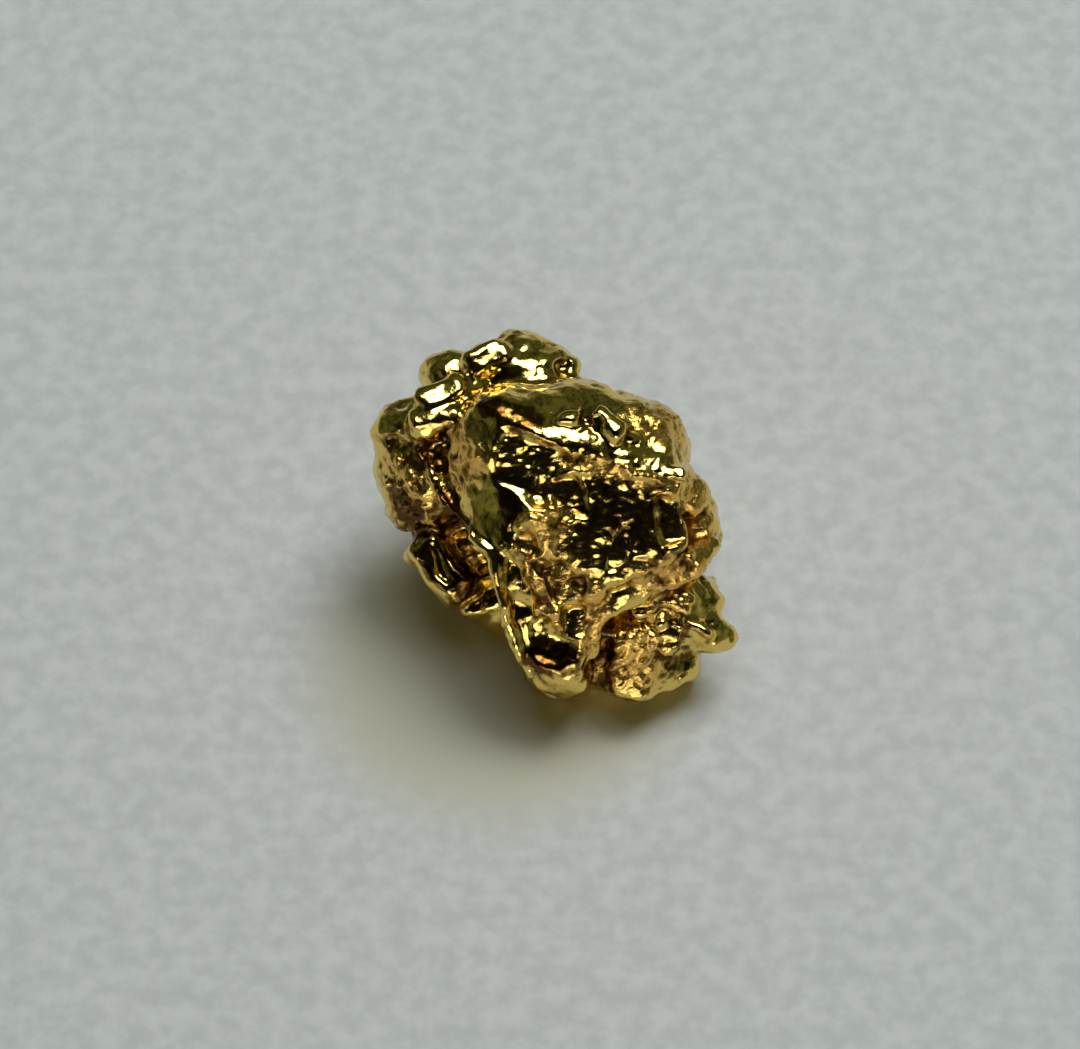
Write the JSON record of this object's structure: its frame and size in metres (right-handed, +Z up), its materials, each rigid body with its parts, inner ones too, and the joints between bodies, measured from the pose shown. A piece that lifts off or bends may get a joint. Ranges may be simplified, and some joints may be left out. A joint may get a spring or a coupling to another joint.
{
  "type": "gold nugget",
  "caption": "Irregular lump of native gold: a broad pitted face leaning back, rounded lobes and knobs round it, a squarer side block with a beak, and a flat underside to rest on.",
  "frame": {"origin": "centre of the bounding box at its base, on the surface that the nugget rests on", "axes": "+Z up from the resting face; the broad pitted face leans back and looks towards -Y and up; +X towards the lobe above the beak"},
  "size_m": [0.0056, 0.005, 0.0043],
  "materials": {
    "native_gold": "bright native gold, water-worn and polished on the high places, rougher and darker in the pits"
  },
  "bodies": {
    "root": {"nugget": "native_gold"}
  },
  "joints": []
}
